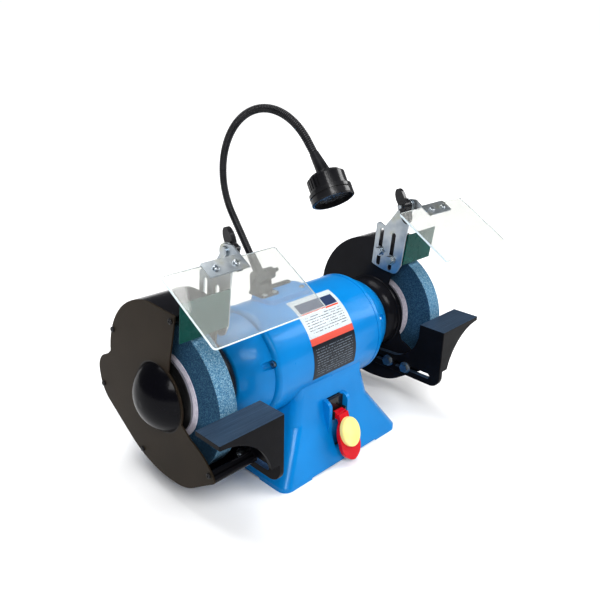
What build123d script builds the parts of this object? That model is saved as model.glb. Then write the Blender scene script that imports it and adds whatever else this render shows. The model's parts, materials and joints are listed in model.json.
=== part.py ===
"""Eight inch bench grinder with a work lamp, as separate pieces.

Millimetres.  +Z is up, the bench surface is z = 0 and the origin is under the middle of the base.
+X runs along the spindle to the right-hand wheel and -Y is the operator's side.
The two ends are mirror images, so each end piece is made once for +X and mirrored for -X.
"""

import os
from math import atan2, cos, degrees, radians, sin, sqrt

from build123d import *

# ---------------------------------------------------------------- driving dimensions
WHEEL_R = 101.6  # 8 inch wheel
WHEEL_W = 25.4  # 1 inch wide
WHEEL_X = 209.1  # middle of the wheel
SHAFT_Z = 153.0  # spindle height above the bench
SPINDLE_R = 10.0  # spindle between the wheels
ARBOR_R = 7.94  # 5/8 inch wheel seats
SPINDLE_END_X = 247.0

MOTOR_R = 77.9
MOTOR_BORE_R = 74.5
SHELL_X = 96.0  # half length of the motor shell
NECK_X = 152.0  # outer end of each end bell's neck
NECK_R = 44.0
BEARING_X = 106.0
BEARING_R = 23.5
BEARING_W = 14.0
BEARING_RACE_R = 14.5

BASE_X, BASE_Y = 122.2, 105.6  # half length and half depth on the bench
FOLD_X, FOLD_Y, FOLD_Z = 79.7, 80.3, 70.4  # where the skirt turns into the pedestal
TOP_X, TOP_Y, TOP_Z = 67.4, 71.3, 124.9
LIP_Z = 7.0  # upright lip round the skirt
FOOT_Z = 2.5  # height of the arch between the corner feet
BASE_WALL = 5.0
BOLT_X, BOLT_Y = 98.0, 82.0  # half spacings of the bench bolts
BOLT_R = 4.0
PLATE_SCREW_X, PLATE_SCREW_Y = 106.0, 50.0

GUARD_IN_X, GUARD_OUT_X = 173.0, 237.0  # inboard face and open face of the guard body
GUARD_WALL = 3.0
COVER_T = 2.0
DISH_X, DISH_R = 152.1, 59.5  # the guard's dish over the neck
DOME_R, DOME_H = 46.0, 27.0  # the cover's dome over the spindle nut
INNER_EDGE_R, COVER_EDGE_R = 62.0, 50.0  # the front edges follow these circles about the shaft
PORT_R, PORT_LEN = 20.0, 6.0
PORT_Z = 128.0
PORT_X = (GUARD_IN_X + GUARD_OUT_X) / 2

REST_X0, REST_X1 = 164.4, 259.7
REST_FRONT, REST_BACK = -147.0, -104.1
REST_TOP = 163.0
REST_T = 6.0
REST_ARM_X = 172.6  # outboard face of the rest's arm
REST_BOLTS = ((-50.0, 83.0), (-84.0, 83.0))
REST_SLOTS = ((-39.0, 34.0), (-95.0, 68.0))  # middle and length of each slot
M8_R = 4.0

DEFLECTOR_X0, DEFLECTOR_X1 = 170.2, 242.2
DEFLECTOR_T = 2.5
DEFLECTOR_TOP = (-61.1, 294.9)
DEFLECTOR_BOTTOM = (-55.3, 245.8)
SLOT_LEAN = 5.0  # degrees that the slotted bracket leans forward
SLOT_MIDDLES = ((-13.1, 266.4), (-35.9, 262.8))
SLOT_LEN = 61.0
DEFLECTOR_BOLTS = ((-12.53, 259.9), (-34.79, 250.1))
PIVOT = (-57.0, 340.0)  # eye shield hinge, y and z

SHIELD_X0, SHIELD_X1 = 120.0, 277.0
SHIELD_BACK = (-82.0, 341.0)
SHIELD_DEPTH = 99.0
SHIELD_SLOPE = 31.0
SHIELD_T = 3.2

PAD_Z = 236.0  # top of the lamp pad on the motor shell
LAMP_SCREWS = ((-60.0, 3.0), (-42.0, 3.0), (6.0, -3.0))
LAMP_X = -51.0
LAMP_PIVOT = (22.0, 260.0)
NECK_TUBE_R = 5.3
HEAD_DIR = Vector(-0.12, -0.58, -0.806).normalized()
HEAD_R, HEAD_LEN = 23.3, 20.0
BEZEL_R, BEZEL_LEN = 26.0, 14.0

PADDLE_PIVOT = (-87.0, 70.0)
PADDLE_SLOPE = 21.7  # degrees from upright, parallel to the skirt
CLEAR = 0.3

SHAFT = Axis((0, 0, SHAFT_Z), (1, 0, 0))
BORE_X = Plane((0, 0, SHAFT_Z), x_dir=(0, 1, 0), z_dir=(1, 0, 0))
# The gooseneck's line in the lamp plane: a straight lean back, then a rising arch over to the front.
NECK_BOTTOM = (79.9, 338.3)  # end of the straight run, y and z
NECK_CENTRE = (6.0, 393.0)
NECK_BOW_R = 92.0
NECK_LAST_ANGLE = 140.0  # where the bow ends, degrees from +Y
NECK_END_RUN = 41.0
BOOT_LEN = 25.0
HEAD_GAP = 4.0  # housing's back ahead of the swivel ball

os.makedirs("parts", exist_ok=True)


# ---------------------------------------------------------------- helpers
def save(part, name):
    """Label one finished piece and write it."""
    part.label = name
    export_step(part, f"parts/{name}.step")


def save_pair(part, name):
    """Write the right-hand piece and its mirror image."""
    left = mirror(part, about=Plane.YZ)
    save(part, f"right_{name}")
    save(left, f"left_{name}")


def both_ends(part):
    """The piece and its mirror image, as one group of separate solids."""
    return Compound(children=[*part.solids(), *mirror(part, about=Plane.YZ).solids()])


def lathe(points):
    """Turn a closed outline of (x, radius) points about the spindle."""
    with BuildPart() as turned:
        with BuildSketch(Plane.XZ) as half:
            with BuildLine():
                Polyline([(x, SHAFT_Z + r) for x, r in points], close=True)
            make_face()
        revolve(half.sketch, axis=SHAFT)
    return turned.part


def ring(x0, x1, outer, inner):
    """A plain ring on the spindle axis."""
    with BuildPart() as plain:
        with BuildSketch(BORE_X.offset(x0)):
            Circle(outer)
            Circle(inner, mode=Mode.SUBTRACT)
        extrude(amount=x1 - x0)
    return plain.part


def hex_bolt(x_head, x_tip, y, z, shank_r, across, head_h):
    """A hex-head bolt along X with its washer; x_head is the face under the head."""
    away = 1 if x_head > x_tip else -1
    with BuildPart() as bolt:
        with BuildSketch(Plane.YZ.offset(x_head)):
            with Locations((y, z)):
                Circle(across * 0.72)
        extrude(amount=away * 1.6)
        with BuildSketch(Plane.YZ.offset(x_head + away * 1.6)):
            with Locations((y, z)):
                RegularPolygon(across / 2, 6, major_radius=False)
        extrude(amount=away * head_h)
        with BuildSketch(Plane.YZ.offset(x_head)):
            with Locations((y, z)):
                Circle(shank_r)
        extrude(amount=x_tip - x_head)
    return bolt.part


def pan_screw(plane, head_r, head_h, shank_r, shank_len):
    """A pan-head screw whose head stands up from the plane."""
    with BuildPart() as screw:
        with BuildSketch(plane):
            Circle(head_r)
        extrude(amount=head_h)
        rim = screw.edges().sort_by(lambda edge: (edge.center() - plane.origin).dot(plane.z_dir))[-1]
        fillet(rim, head_h * 0.55)
        with BuildSketch(plane.offset(head_h)):
            Rectangle(head_r * 1.1, head_r * 0.28)
            Rectangle(head_r * 0.28, head_r * 1.1)
        extrude(amount=-head_h * 0.5, mode=Mode.SUBTRACT)
        with BuildSketch(plane):
            Circle(shank_r)
        extrude(amount=-shank_len)
    return screw.part


def group(parts):
    """Several separate pieces of one kind as one node."""
    return Compound(children=[solid for part in parts for solid in part.solids()])


# ---------------------------------------------------------------- base
def pedestal_loft(z_low, inset):
    """The two-slope pedestal shrunk by inset, from z_low up past the motor's underside."""
    corner = 15.0 - min(inset, 4.0)
    lip_top = LIP_Z if inset == 0 else z_low
    with BuildPart() as solid:
        if inset == 0:
            with BuildSketch(Plane.XY.offset(z_low)):
                RectangleRounded(2 * BASE_X, 2 * BASE_Y, corner)
            extrude(amount=lip_top - z_low)
        with BuildSketch(Plane.XY.offset(lip_top)):
            RectangleRounded(2 * (BASE_X - inset), 2 * (BASE_Y - inset), corner)
        with BuildSketch(Plane.XY.offset(FOLD_Z)):
            RectangleRounded(2 * (FOLD_X - inset), 2 * (FOLD_Y - inset), corner)
        loft()
        with BuildSketch(Plane.XY.offset(FOLD_Z)):
            RectangleRounded(2 * (FOLD_X - inset), 2 * (FOLD_Y - inset), corner)
        with BuildSketch(Plane.XY.offset(TOP_Z + 4)):
            RectangleRounded(2 * (TOP_X - inset - 0.9), 2 * (TOP_Y - inset - 0.7), corner)
        loft()
    return solid.part


def base_casting():
    """The hollow pedestal with its saddle, corner feet, bolt bosses and switch housing."""
    hollow = pedestal_loft(3.0, BASE_WALL)
    with BuildPart() as base:
        add(pedestal_loft(0, 0))
        add(hollow, mode=Mode.SUBTRACT)
        with Locations((0, 0, 0)):
            Box(2 * (BASE_X - BASE_WALL), 2 * (BASE_Y - BASE_WALL), 6.4, mode=Mode.SUBTRACT)
        # corner bosses for the bench bolts
        with BuildSketch(Plane.XY):
            with GridLocations(2 * BOLT_X, 2 * BOLT_Y, 2, 2):
                Circle(11)
        extrude(amount=22)
        with BuildSketch(Plane.XY.offset(5)):
            with GridLocations(2 * PLATE_SCREW_X, 2 * PLATE_SCREW_Y, 2, 2):
                Circle(5)
        extrude(amount=14)
        add(pedestal_loft(0, 0), mode=Mode.INTERSECT)
        # roof under the motor, cut to the motor's round
        with BuildSketch(Plane.XY.offset(TOP_Z - 30)):
            RectangleRounded(2 * (TOP_X + 2), 2 * (TOP_Y + 1.5), 10)
        extrude(amount=30)
        # switch housing: pocket floor and two cheeks
        with Locations((0, -76, 52.5)):
            Box(44, 8, 81)
        for side in (-1, 1):
            with BuildSketch(Plane.YZ.offset(side * 19 - 3)):
                with BuildLine():
                    Polyline((-70, 14), (-70, 93), (-82, 93))
                    ThreePointArc((-82, 93), (-88, 90), (-90.5, 83))
                    Polyline((-90.5, 83), (-90.5, 14), (-70, 14))
                make_face()
            extrude(amount=6)
        with Locations((0, -105, 57.5)):
            Box(32, 50, 71, mode=Mode.SUBTRACT)
        with Locations((0, -70, 77)):
            Box(27, 30, 33, mode=Mode.SUBTRACT)
        # motor saddle
        with BuildSketch(BORE_X.offset(-130)):
            Circle(MOTOR_R + 0.1)
        extrude(amount=260, mode=Mode.SUBTRACT)
        # arches between the corner feet
        Box(140, 240, 2 * FOOT_Z, mode=Mode.SUBTRACT)
        Box(260, 110, 2 * FOOT_Z, mode=Mode.SUBTRACT)
        with BuildSketch(Plane.XY):
            with GridLocations(2 * BOLT_X, 2 * BOLT_Y, 2, 2):
                Circle(BOLT_R)
            with GridLocations(2 * PLATE_SCREW_X, 2 * PLATE_SCREW_Y, 2, 2):
                Circle(1.85)
        extrude(amount=18, mode=Mode.SUBTRACT)
        # flat boss with the cable gland's hole at the back, and two screw holes up into the motor
        with BuildSketch(Plane.XZ.offset(-75)):
            with Locations((52, 36)):
                Circle(15)
        extrude(amount=-24)
        with BuildSketch(Plane.XZ.offset(-110)):
            with Locations((52, 36)):
                Circle(9)
        extrude(amount=50, mode=Mode.SUBTRACT)
        with BuildSketch(Plane.XY.offset(60)):
            with Locations((-45, 0), (45, 0)):
                Circle(3.2)
        extrude(amount=30, mode=Mode.SUBTRACT)
    return base.part


def base_plate():
    """Sheet steel cover under the pedestal."""
    with BuildPart() as plate:
        with BuildSketch(Plane.XY.offset(3.4)):
            RectangleRounded(2 * (BASE_X - 7), 2 * (BASE_Y - 6.2), 9)
            with GridLocations(2 * BOLT_X, 2 * BOLT_Y, 2, 2):
                Circle(11.5, mode=Mode.SUBTRACT)
            with GridLocations(2 * PLATE_SCREW_X, 2 * PLATE_SCREW_Y, 2, 2):
                Circle(2.1, mode=Mode.SUBTRACT)
        extrude(amount=1.5)
    return plate.part


def cord_gland():
    """Strain relief gland in the boss at the back of the base."""
    with BuildPart() as gland:
        with BuildSketch(Plane.XZ.offset(-80)):
            with Locations((52, 36)):
                Circle(8.9)
        extrude(amount=-20)
        with BuildSketch(Plane.XZ.offset(-99.1)):
            with Locations((52, 36)):
                RegularPolygon(11, 6)
        extrude(amount=-7)
        with BuildSketch(Plane.XZ.offset(-106)):
            with Locations((52, 36)):
                Circle(8)
        extrude(amount=-8, taper=12)
        with BuildSketch(Plane.XZ.offset(-70)):
            with Locations((52, 36)):
                Circle(3.6)
        extrude(amount=-60, mode=Mode.SUBTRACT)
    return gland.part


# ---------------------------------------------------------------- motor
def motor_shell():
    """The rolled shell with the raised lamp pad on top."""
    with BuildPart() as shell:
        with BuildSketch(BORE_X.offset(-SHELL_X)):
            Circle(MOTOR_R)
        extrude(amount=2 * SHELL_X)
        with BuildSketch(Plane.XY.offset(PAD_Z)):
            with Locations((-25, 7)):
                RectangleRounded(86, 42, 12)
        extrude(amount=-30, taper=-10)
        with BuildSketch(BORE_X.offset(-SHELL_X)):
            Circle(MOTOR_BORE_R)
        extrude(amount=2 * SHELL_X, mode=Mode.SUBTRACT)
        with BuildSketch(Plane.XY.offset(PAD_Z)):
            with Locations(*LAMP_SCREWS):
                Circle(2.1)
        extrude(amount=-12, mode=Mode.SUBTRACT)
        with BuildSketch(Plane.XY.offset(60)):
            with Locations((-45, 0), (45, 0)):
                Circle(2.9)
        extrude(amount=25, mode=Mode.SUBTRACT)
    return shell.part


def end_bell():
    """Cast end bell: rim, rounded face, bearing housing and neck."""
    with BuildPart() as bell:
        with BuildSketch(Plane.XZ):
            with BuildLine():
                Polyline((96.05, SHAFT_Z + 74.4), (96.05, SHAFT_Z + 78.6), (101, SHAFT_Z + 78.6))
                ThreePointArc(
                    (101, SHAFT_Z + 78.6), (106.2, SHAFT_Z + 76.2), (108.5, SHAFT_Z + 71.5)
                )
                ThreePointArc(
                    (108.5, SHAFT_Z + 71.5), (129, SHAFT_Z + 64.6), (NECK_X - 3, SHAFT_Z + 50.5)
                )
                ThreePointArc(
                    (NECK_X - 3, SHAFT_Z + 50.5), (NECK_X - 0.6, SHAFT_Z + 48), (NECK_X, SHAFT_Z + NECK_R)
                )
                Polyline(
                    (NECK_X, SHAFT_Z + NECK_R),
                    (NECK_X, SHAFT_Z + 14),
                    (BEARING_X + BEARING_W, SHAFT_Z + 14),
                    (BEARING_X + BEARING_W, SHAFT_Z + BEARING_R),
                    (BEARING_X, SHAFT_Z + BEARING_R),
                    (BEARING_X, SHAFT_Z + 30),
                    (NECK_X - 6, SHAFT_Z + 33),
                    (NECK_X - 8, SHAFT_Z + 43),
                    (128, SHAFT_Z + 56),
                    (112, SHAFT_Z + 60),
                    (100, SHAFT_Z + 61.5),
                    (100, SHAFT_Z + 70.5),
                    (90, SHAFT_Z + 70.5),
                    (90, SHAFT_Z + 74.4),
                    (96.05, SHAFT_Z + 74.4),
                )
            make_face()
        revolve(axis=SHAFT)
        # screw pockets round the rim and tapped holes in the neck's end
        with BuildSketch(BORE_X.offset(104)):
            with PolarLocations(70.3, 4, start_angle=160):
                Circle(5.6)
        extrude(amount=20, mode=Mode.SUBTRACT)
        with BuildSketch(BORE_X.offset(90)):
            with PolarLocations(70.3, 4, start_angle=160):
                Circle(2.6)
        extrude(amount=20, mode=Mode.SUBTRACT)
        with BuildSketch(BORE_X.offset(NECK_X)):
            with PolarLocations(27, 3, start_angle=90):
                Circle(2.4)
        extrude(amount=-14, mode=Mode.SUBTRACT)
    return bell.part


def bell_screws():
    """Four socket screws at each end, in the rim pockets."""
    with BuildPart() as screws:
        with BuildSketch(BORE_X.offset(104)):
            with PolarLocations(70.3, 4, start_angle=160):
                Circle(4.4)
                Circle(2.1, mode=Mode.SUBTRACT)
        extrude(amount=5)
        with BuildSketch(BORE_X.offset(91)):
            with PolarLocations(70.3, 4, start_angle=160):
                Circle(2.5)
        extrude(amount=14.5)
    return both_ends(screws.part)


def stator_core():
    """Laminated stator with winding slots."""
    with BuildPart() as core:
        with BuildSketch(BORE_X.offset(-36)):
            Circle(MOTOR_BORE_R - 0.1)
            Circle(42, mode=Mode.SUBTRACT)
            with PolarLocations(51.5, 24):
                Rectangle(15, 4.6, mode=Mode.SUBTRACT)
        extrude(amount=72)
    return core.part


def rotor_core():
    """Squirrel cage rotor with its end rings."""
    return lathe(
        (
            (-36, SPINDLE_R), (-36, 22), (-46, 24), (-46, 37), (-36, 41.4),
            (36, 41.4), (46, 37), (46, 24), (36, 22), (36, SPINDLE_R),
        )
    )


def cooling_fan():
    """Fan on the spindle inside the right end bell."""
    with BuildPart() as fan:
        with BuildSketch(BORE_X.offset(70)):
            Circle(17)
            Circle(SPINDLE_R, mode=Mode.SUBTRACT)
        extrude(amount=16)
        with BuildSketch(BORE_X.offset(70)):
            Circle(60)
            Circle(16, mode=Mode.SUBTRACT)
        extrude(amount=2)
        with BuildSketch(BORE_X.offset(72)):
            with PolarLocations(38, 9):
                Rectangle(43, 2)
        extrude(amount=14)
    return fan.part


def spindle():
    """Stepped spindle with shoulders for the inner flanges."""
    arbor_x = 187.4
    return lathe(
        (
            (-SPINDLE_END_X, 0), (-SPINDLE_END_X, ARBOR_R - 1.5), (-SPINDLE_END_X + 1.5, ARBOR_R),
            (-arbor_x, ARBOR_R), (-arbor_x, SPINDLE_R), (-60, SPINDLE_R), (60, SPINDLE_R),
            (arbor_x, SPINDLE_R), (arbor_x, ARBOR_R), (SPINDLE_END_X - 1.5, ARBOR_R),
            (SPINDLE_END_X, ARBOR_R - 1.5), (SPINDLE_END_X, 0),
        )
    )


# ---------------------------------------------------------------- wheels
def grinding_wheel():
    """Plain wheel with small edge chamfers."""
    x0, x1, c = WHEEL_X - WHEEL_W / 2, WHEEL_X + WHEEL_W / 2, 0.8
    return lathe(
        (
            (x0, 15.9), (x0, WHEEL_R - c), (x0 + c, WHEEL_R),
            (x1 - c, WHEEL_R), (x1, WHEEL_R - c), (x1, 15.9),
        )
    )


def wheel_flange(x_face, away):
    """Relieved clamping flange; x_face bears on the blotter and away points off the wheel."""
    return lathe(
        (
            (x_face, 38), (x_face, 50), (x_face + away * 3, 50), (x_face + away * 8, 36),
            (x_face + away * 8, ARBOR_R), (x_face + away * 1.5, ARBOR_R), (x_face + away * 1.5, 38),
        )
    )


def spindle_nut():
    """Hex nut on the arbor thread."""
    with BuildPart() as nut:
        with BuildSketch(BORE_X.offset(WHEEL_X + WHEEL_W / 2 + 9)):
            RegularPolygon(12.7, 6, major_radius=False)
            Circle(ARBOR_R, mode=Mode.SUBTRACT)
        extrude(amount=10)
    return nut.part


# ---------------------------------------------------------------- guards
def guard_outline(edge_r):
    """Guard outline in y and z: top, round back, dust chute, bottom and the open front."""
    low_y, low_z = -sqrt(edge_r**2 - 19**2), SHAFT_Z - 19
    up_y, up_z = -edge_r * cos(radians(60)), SHAFT_Z + edge_r * sin(radians(60))
    mid_y, mid_z = -edge_r * cos(radians(18)), SHAFT_Z + edge_r * sin(radians(18))
    with BuildSketch() as face:
        with BuildLine():
            Line((-46, 275), (6, 277))
            ThreePointArc((6, 277), (82, 241), (109, 178))
            Line((109, 178), (120, 168))
            ThreePointArc((120, 168), (141, 153), (144, 130))
            ThreePointArc((144, 130), (139, 112), (127, 98))
            Line((127, 98), (71, 61))
            ThreePointArc((71, 61), (26, 43), (-24, 40.5))
            ThreePointArc((-24, 40.5), (-45, 44), (-64, 53))
            Line((-64, 53), (-105, 81))
            ThreePointArc((-105, 81), (-107.6, 84), (-107, 88))
            ThreePointArc((-107, 88), (-89, 108), (-64, 121))
            Line((-64, 121), (low_y, low_z))
            ThreePointArc((low_y, low_z), (mid_y, mid_z), (up_y, up_z))
            Line((up_y, up_z), (-46, 275))
        make_face()
    return face.sketch


COVER_SCREWS = ((97.0, 212.5), (-37.0, 266.5), (46.0, 55.5), (136.0, 118.0), (-98.0, 89.5))


def guard_dish():
    """Rounded dish over the bell's neck, with a raised bead where it meets the back plate."""
    z, edge, wall = SHAFT_Z, GUARD_IN_X, GUARD_WALL
    with BuildPart() as dish:
        with BuildSketch(Plane.XZ) as half:
            with BuildLine():
                Polyline((edge + wall, z + DISH_R - 3), (edge + wall, z + DISH_R + 1), (edge - 1.2, z + DISH_R + 1))
                Polyline((edge - 1.2, z + DISH_R + 1), (edge - 2.2, z + DISH_R), (edge - 2.2, z + DISH_R - 1.5))
                ThreePointArc(
                    (edge - 2.2, z + DISH_R - 1.5), (158.6, z + DISH_R - 6), (DISH_X, z + DISH_R - 17)
                )
                Polyline((DISH_X, z + DISH_R - 17), (DISH_X, z + 15), (DISH_X + wall, z + 15))
                Line((DISH_X + wall, z + 15), (DISH_X + wall, z + DISH_R - 18))
                ThreePointArc(
                    (DISH_X + wall, z + DISH_R - 18), (161.0, z + DISH_R - 8.4), (edge - 1, z + DISH_R - 4.4)
                )
                Line((edge - 1, z + DISH_R - 4.4), (edge + wall, z + DISH_R - 3))
            make_face()
        revolve(half.sketch, axis=SHAFT)
    return dish.part


def guard_body():
    """Pressed guard body: back plate, rim, dish over the neck, dust port and screw posts."""
    with BuildPart() as guard:
        with BuildSketch(Plane.YZ.offset(GUARD_IN_X)):
            add(guard_outline(INNER_EDGE_R))
        extrude(amount=GUARD_OUT_X - GUARD_IN_X)
        with BuildSketch(Plane.YZ.offset(GUARD_IN_X + GUARD_WALL)) as cavity:
            offset(guard_outline(INNER_EDGE_R), amount=-GUARD_WALL, kind=Kind.ARC)
            with BuildLine():
                Polyline(
                    (-150, 273.2), (-44, 273.2), (-20, 262), (0, 190), (0, 130), (-50, 90),
                    (-100, 88), (-150, 110), close=True,
                )
            make_face()
        extrude(amount=GUARD_OUT_X - GUARD_IN_X, mode=Mode.SUBTRACT)
        # dish over the bell's neck, floor out to the neck's end face
        dish = guard_dish()
        with BuildSketch(BORE_X.offset(GUARD_IN_X - 1)):
            Circle(DISH_R - 3)
        extrude(amount=GUARD_WALL + 2, mode=Mode.SUBTRACT)
        add(dish)
        with BuildSketch(BORE_X.offset(DISH_X - 1)):
            with PolarLocations(27, 3, start_angle=90):
                Circle(2.7)
        extrude(amount=6, mode=Mode.SUBTRACT)
        # posts for the cover screws; the one in the dust chute is short to keep the way out clear
        for index, centre in enumerate(COVER_SCREWS):
            length = 16 if index == 3 else GUARD_OUT_X - GUARD_IN_X - 1
            with BuildSketch(Plane.YZ.offset(GUARD_OUT_X)):
                with Locations(centre):
                    Circle(3.9)
            extrude(amount=-length)
        with BuildSketch(Plane.YZ.offset(GUARD_OUT_X)):
            with Locations(*COVER_SCREWS):
                Circle(1.7)
        extrude(amount=-14, mode=Mode.SUBTRACT)
        # dust port through the chute's back wall
        with BuildSketch(Plane((PORT_X, 138, PORT_Z), x_dir=(1, 0, 0), z_dir=(0, 1, 0))):
            Circle(PORT_R + 2)
        extrude(amount=PORT_LEN + 6)
        with BuildSketch(Plane((PORT_X, 130, PORT_Z), x_dir=(1, 0, 0), z_dir=(0, 1, 0))):
            Circle(PORT_R)
        extrude(amount=30, mode=Mode.SUBTRACT)
        # bolt holes for the tool rest and the deflector bracket
        with BuildSketch(Plane.YZ.offset(GUARD_IN_X - 1)):
            with Locations(*REST_BOLTS):
                Circle(M8_R + 0.3)
            with Locations(*DEFLECTOR_BOLTS):
                Circle(3.3)
        extrude(amount=GUARD_WALL + 2, mode=Mode.SUBTRACT)
    return guard.part


def cover_dome():
    """Shallow dome with a small flat crown, pressed in the cover over the spindle nut."""
    foot, crown = GUARD_OUT_X + 0.05, GUARD_OUT_X + COVER_T + DOME_H
    with BuildPart() as dome:
        with BuildSketch(Plane.XZ) as half:
            with BuildLine():
                Line((foot, SHAFT_Z + DOME_R), (foot + COVER_T, SHAFT_Z + DOME_R))
                ThreePointArc(
                    (foot + COVER_T, SHAFT_Z + DOME_R),
                    (foot + COVER_T + DOME_H * 0.72, SHAFT_Z + DOME_R * 0.60),
                    (crown, SHAFT_Z + 4),
                )
                Polyline((crown, SHAFT_Z + 4), (crown, SHAFT_Z), (crown - COVER_T, SHAFT_Z))
                Line((crown - COVER_T, SHAFT_Z), (crown - COVER_T, SHAFT_Z + 4))
                ThreePointArc(
                    (crown - COVER_T, SHAFT_Z + 4),
                    (foot + DOME_H * 0.72, SHAFT_Z + DOME_R * 0.60 - 1.6),
                    (foot, SHAFT_Z + DOME_R - 3),
                )
                Line((foot, SHAFT_Z + DOME_R - 3), (foot, SHAFT_Z + DOME_R))
            make_face()
        revolve(half.sketch, axis=SHAFT)
    return dome.part


def guard_cover():
    """Outer cover plate with its dome."""
    with BuildPart() as cover:
        with BuildSketch(Plane.YZ.offset(GUARD_OUT_X + 0.05)):
            add(guard_outline(COVER_EDGE_R))
            with Locations((0, SHAFT_Z)):
                Circle(DOME_R - 1.5, mode=Mode.SUBTRACT)
            with Locations(*COVER_SCREWS):
                Circle(2.1, mode=Mode.SUBTRACT)
        extrude(amount=COVER_T)
        add(cover_dome())
    return cover.part


def cover_screws():
    """Five pan-head screws through each cover."""
    screws = []
    for y, z in COVER_SCREWS:
        seat = Plane((GUARD_OUT_X + COVER_T + 0.1, y, z), x_dir=(0, 1, 0), z_dir=(1, 0, 0))
        screws.append(pan_screw(seat, 3.6, 2.2, 1.6, 12))
    return both_ends(group(screws))


def guard_screws():
    """Three screws from inside each guard into the bell's neck."""
    screws = []
    for angle in (90, 210, 330):
        y = 27 * cos(radians(angle))
        z = SHAFT_Z + 27 * sin(radians(angle))
        seat = Plane((DISH_X + 3.1, y, z), x_dir=(0, 1, 0), z_dir=(1, 0, 0))
        screws.append(pan_screw(seat, 4.6, 3.2, 2.3, 14))
    return both_ends(group(screws))


# ---------------------------------------------------------------- tool rests
def tool_rest():
    """Cast rest: table, tapering front web and a slotted arm along the guard."""
    with BuildPart() as rest:
        with BuildSketch(Plane.XY.offset(REST_TOP)):
            with Locations(((REST_X0 + REST_X1) / 2, (REST_FRONT + REST_BACK) / 2)):
                Rectangle(REST_X1 - REST_X0, REST_BACK - REST_FRONT)
        extrude(amount=-REST_T)
        with BuildSketch(Plane.XZ.offset(-REST_FRONT)):
            with BuildLine():
                Polyline((REST_X1, 160), (REST_X0, 160), (REST_X0, 96), (184, 96))
                ThreePointArc((184, 96), (212, 140), (REST_X1, 157))
                Line((REST_X1, 157), (REST_X1, 160))
            make_face()
        extrude(amount=-REST_T)
        with BuildSketch(Plane.YZ.offset(REST_X0)):
            with BuildLine():
                Polyline((REST_FRONT, 160), (REST_FRONT, 86))
                ThreePointArc((REST_FRONT, 86), (-142, 73.5), (-130, 68.5))
                Polyline((-130, 68.5), (-24, 68.5))
                ThreePointArc((-24, 68.5), (-18.5, 74), (-18, 80))
                ThreePointArc((-18, 80), (-19.5, 90), (-26, 95))
                Line((-26, 95), (-62, 97))
                ThreePointArc((-62, 97), (-92, 116), (REST_BACK, 150))
                Polyline((REST_BACK, 150), (REST_BACK, 160), (REST_FRONT, 160))
            make_face()
            for middle, length in REST_SLOTS:
                with Locations((middle, REST_BOLTS[0][1])):
                    SlotOverall(length, 2 * M8_R + 1, mode=Mode.SUBTRACT)
        extrude(amount=REST_ARM_X - REST_X0)
        corners = rest.edges().filter_by(Axis.Z).group_by(Axis.Y)[0]
        fillet(corners, 1.2)
    return rest.part


def rest_bolts():
    """Two M8 hex bolts and nuts that hold each rest's arm."""
    bolts = []
    for y, z in REST_BOLTS:
        bolts.append(hex_bolt(REST_X0 - CLEAR, 186.0, y, z, M8_R, 13, 5.3))
        with BuildPart() as nut:
            with BuildSketch(Plane.YZ.offset(GUARD_IN_X + GUARD_WALL + 0.1)):
                with Locations((y, z)):
                    RegularPolygon(6.5, 6, major_radius=False)
                    Circle(M8_R, mode=Mode.SUBTRACT)
            extrude(amount=6.5)
        bolts.append(nut.part)
    return both_ends(group(bolts))


# ---------------------------------------------------------------- spark deflectors
def deflector_bracket():
    """Slotted steel bracket with the arm up to the shield hinge."""
    with BuildPart() as bracket:
        with BuildSketch(Plane.YZ.offset(DEFLECTOR_X0)):
            with BuildLine():
                Polyline(
                    (1.5, 237), (-4.4, 303), (-9, 306), (-20, 301), (-32, 316), (-47.5, 338),
                )
                ThreePointArc((-47.5, 338), (-49.5, 346.5), (-57, 350.5))
                ThreePointArc((-57, 350.5), (-65.5, 346.5), (-67.4, 338))
                Polyline((-67.4, 338), (-61.3, 294.9), (-55.5, 245.8), (-51, 236))
                ThreePointArc((-51, 236), (-45, 229.6), (-36, 229))
                ThreePointArc((-36, 229), (-16, 231.5), (1.5, 237))
            make_face()
            for y, z in SLOT_MIDDLES:
                with Locations(Location((y, z, 0), (0, 0, 90 + SLOT_LEAN))):
                    SlotOverall(SLOT_LEN, 7, mode=Mode.SUBTRACT)
            with Locations(PIVOT):
                Circle(3.1, mode=Mode.SUBTRACT)
        extrude(amount=DEFLECTOR_T)
        lean = degrees(atan2(DEFLECTOR_BOTTOM[0] - DEFLECTOR_TOP[0], DEFLECTOR_TOP[1] - DEFLECTOR_BOTTOM[1]))
        with BuildSketch(Plane.XY.offset(DEFLECTOR_BOTTOM[1])):
            with Locations((DEFLECTOR_X0 + 5, DEFLECTOR_BOTTOM[0] + 1.2)):
                Rectangle(10, 2.4)
        with BuildSketch(Plane.XY.offset(DEFLECTOR_TOP[1])):
            with Locations((DEFLECTOR_X0 + 5, DEFLECTOR_TOP[0] + 1.2)):
                Rectangle(10, 2.4)
        loft()
    return bracket.part


def deflector_plate():
    """Painted deflector plate across the front of the wheel opening."""
    start = DEFLECTOR_X0 + DEFLECTOR_T + 0.2
    with BuildPart() as plate:
        for y, z in (DEFLECTOR_BOTTOM, DEFLECTOR_TOP):
            with BuildSketch(Plane.XY.offset(z)):
                with Locations(((start + DEFLECTOR_X1) / 2, y - 1.1)):
                    Rectangle(DEFLECTOR_X1 - start, 2.0)
        loft()
    return plate.part


def deflector_bolts():
    """Two M6 hex bolts and nuts through each bracket's slots."""
    bolts = []
    for y, z in DEFLECTOR_BOLTS:
        bolts.append(hex_bolt(DEFLECTOR_X0 - CLEAR, 183.0, y, z, 3.0, 11.5, 4.6))
    return both_ends(group(bolts))


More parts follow.
